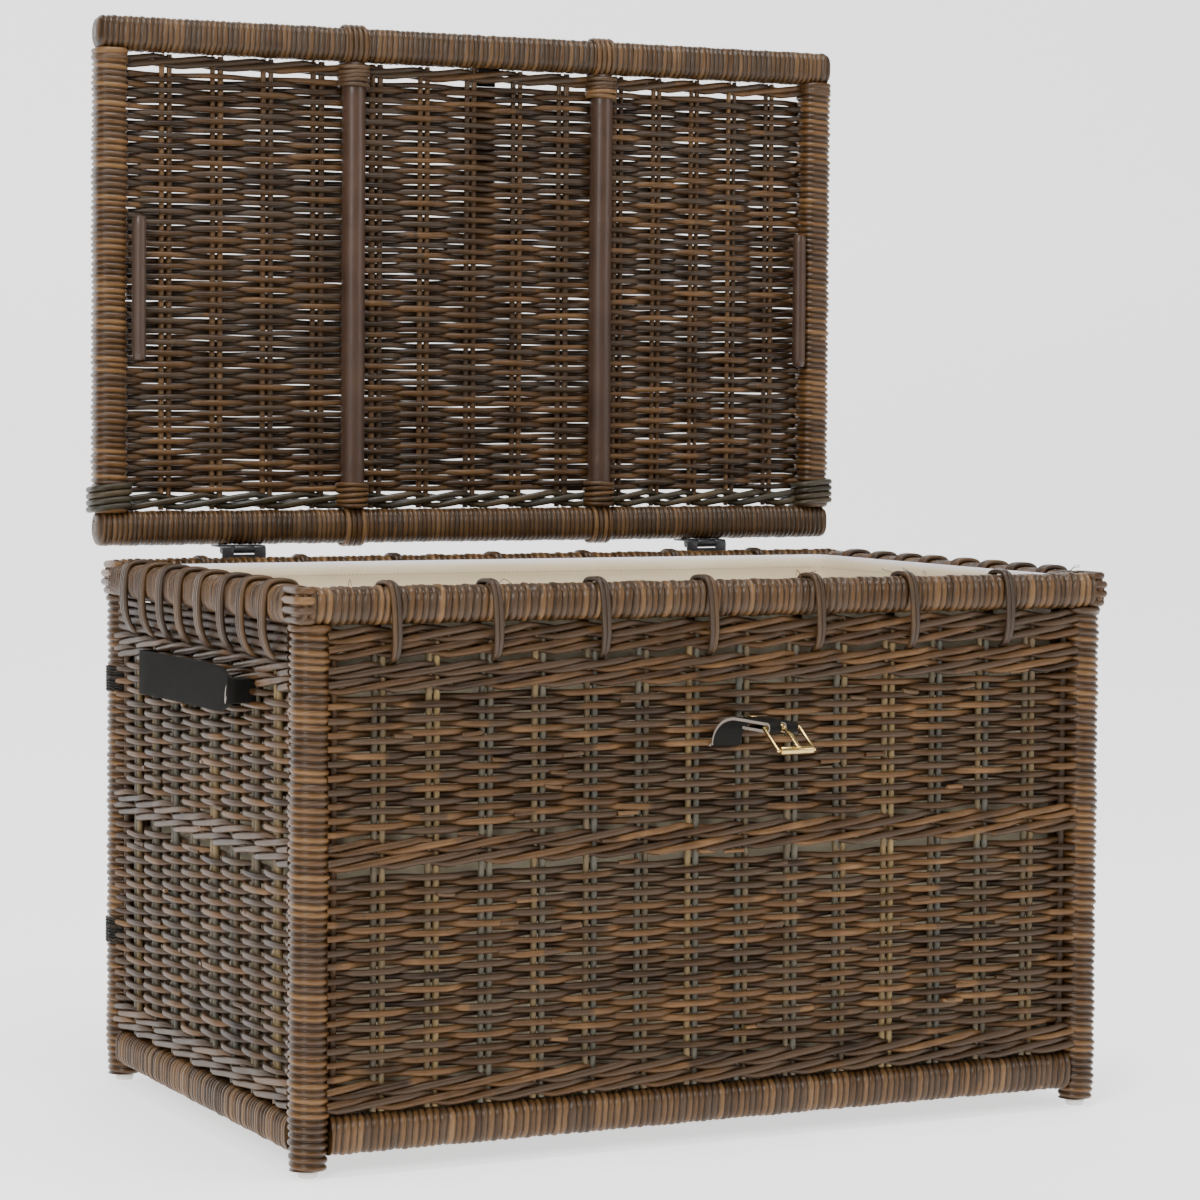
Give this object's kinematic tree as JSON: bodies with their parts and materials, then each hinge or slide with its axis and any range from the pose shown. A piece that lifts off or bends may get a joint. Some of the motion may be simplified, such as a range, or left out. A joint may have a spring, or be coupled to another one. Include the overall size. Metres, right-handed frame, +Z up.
{
  "type": "wicker storage trunk",
  "caption": "Rectangular woven rattan trunk on four posts, with a hinged woven lid standing open, a cotton liner, leather end handles and a buckled leather strap.",
  "frame": {"origin": "on the floor under the middle of the box that the open trunk fills", "axes": "+X to the trunk's right seen from the front, +Y to the back where the lid is hinged, +Z up"},
  "size_m": [0.808, 0.6712, 0.9935],
  "materials": {
    "rattan": "dark stained rattan weave, satin",
    "peel_wrap": "dark stained rattan peel wrapping, satin with a light varnish",
    "rattan_pole": "dark smooth rattan pole, varnished",
    "cotton": "unbleached cotton canvas, matte",
    "black_leather": "matte black leather with raw pale edges",
    "brass": "polished brass, slightly dulled",
    "black_metal": "black enamelled steel, satin",
    "white_plastic": "white nylon, matte"
  },
  "bodies": {
    "trunk_body": {"base_batten_left": "rattan_pole", "base_batten_right": "rattan_pole", "base_panel": "rattan", "bottom_rail_back": "peel_wrap", "bottom_rail_front": "peel_wrap", "bottom_rail_left": "peel_wrap", "bottom_rail_right": "peel_wrap", "glide_back_left": "white_plastic", "glide_back_right": "white_plastic", "glide_front_left": "white_plastic", "glide_front_right": "white_plastic", "hinge_leaf_body_left": "black_metal", "hinge_leaf_body_right": "black_metal", "hinge_pin_left": "black_metal", "hinge_pin_right": "black_metal", "latch_strap_tail": "black_leather", "liner": "cotton", "post_back_left": "rattan", "post_back_right": "rattan", "post_front_left": "rattan", "post_front_right": "rattan", "rim_back": "peel_wrap", "rim_front": "peel_wrap", "rim_left": "peel_wrap", "rim_right": "peel_wrap", "screw_body_left_1": "black_metal", "screw_body_left_2": "black_metal", "screw_body_right_1": "black_metal", "screw_body_right_2": "black_metal", "woven_wall_back": "rattan", "woven_wall_front": "rattan", "woven_wall_left": "rattan", "woven_wall_right": "rattan"},
    "lid": {"hinge_leaf_lid_left": "black_metal", "hinge_leaf_lid_right": "black_metal", "lid_batten_left": "rattan_pole", "lid_batten_right": "rattan_pole", "lid_rail_back": "peel_wrap", "lid_rail_front": "peel_wrap", "lid_rail_left": "rattan", "lid_rail_right": "rattan", "lid_rod_left": "rattan_pole", "lid_rod_right": "rattan_pole", "lid_strap_root": "black_leather", "lid_woven_panel": "rattan", "screw_lid_left_1": "black_metal", "screw_lid_left_2": "black_metal", "screw_lid_right_1": "black_metal", "screw_lid_right_2": "black_metal"},
    "handle_left": {"handle_left": "black_leather"},
    "handle_right": {"handle_right": "black_leather"},
    "latch_strap": {"latch_strap": "black_leather", "latch_rivet": "brass"},
    "buckle_frame": {"buckle_frame": "brass"},
    "buckle_roller": {"buckle_roller": "brass"},
    "buckle_tongue": {"buckle_tongue": "brass"},
    "lid_strap_fold": {"lid_strap_fold": "black_leather"},
    "lid_strap": {"lid_strap": "black_leather"}
  },
  "joints": [
    {"name": "lid_hinge", "type": "hinge", "parent": "trunk_body", "child": "lid", "pos_m": [0, 0.30064, 0.493], "axis": [1, 0, 0], "range_deg": [0, 90]},
    {"name": "handle_left_flex", "type": "hinge", "parent": "trunk_body", "child": "handle_left", "pos_m": [-0.387, 0.03014, 0.392], "axis": [0, 1, 0], "range_deg": [-20, 20]},
    {"name": "handle_right_flex", "type": "hinge", "parent": "trunk_body", "child": "handle_right", "pos_m": [0.387, 0.03014, 0.392], "axis": [0, -1, 0], "range_deg": [-20, 20]},
    {"name": "latch_strap_flex", "type": "hinge", "parent": "trunk_body", "child": "latch_strap", "pos_m": [0.003, -0.20766, 0.343], "axis": [1, 0, 0], "range_deg": [0, 75]},
    {"name": "buckle_swing", "type": "hinge", "parent": "latch_strap", "child": "buckle_frame", "pos_m": [0.003, -0.30586, 0.3659], "axis": [1, 0, 0], "range_deg": [-45, 55]},
    {"name": "roller_spin", "type": "hinge", "parent": "buckle_frame", "child": "buckle_roller", "pos_m": [0.003, -0.33102, 0.34956], "axis": [1, 0, 0], "continuous": true},
    {"name": "tongue_swing", "type": "hinge", "parent": "buckle_frame", "child": "buckle_tongue", "pos_m": [0.003, -0.30586, 0.3659], "axis": [1, 0, 0], "range_deg": [-90, 0]},
    {"name": "lid_strap_fold_swing", "type": "hinge", "parent": "lid", "child": "lid_strap_fold", "pos_m": [0.014, 0.33434, 0.977], "axis": [1, 0, 0], "range_deg": [0, 180]},
    {"name": "lid_strap_swing", "type": "hinge", "parent": "lid_strap_fold", "child": "lid_strap", "pos_m": [0.014, 0.33434, 0.9435], "axis": [1, 0, 0], "range_deg": [0, 90]}
  ]
}
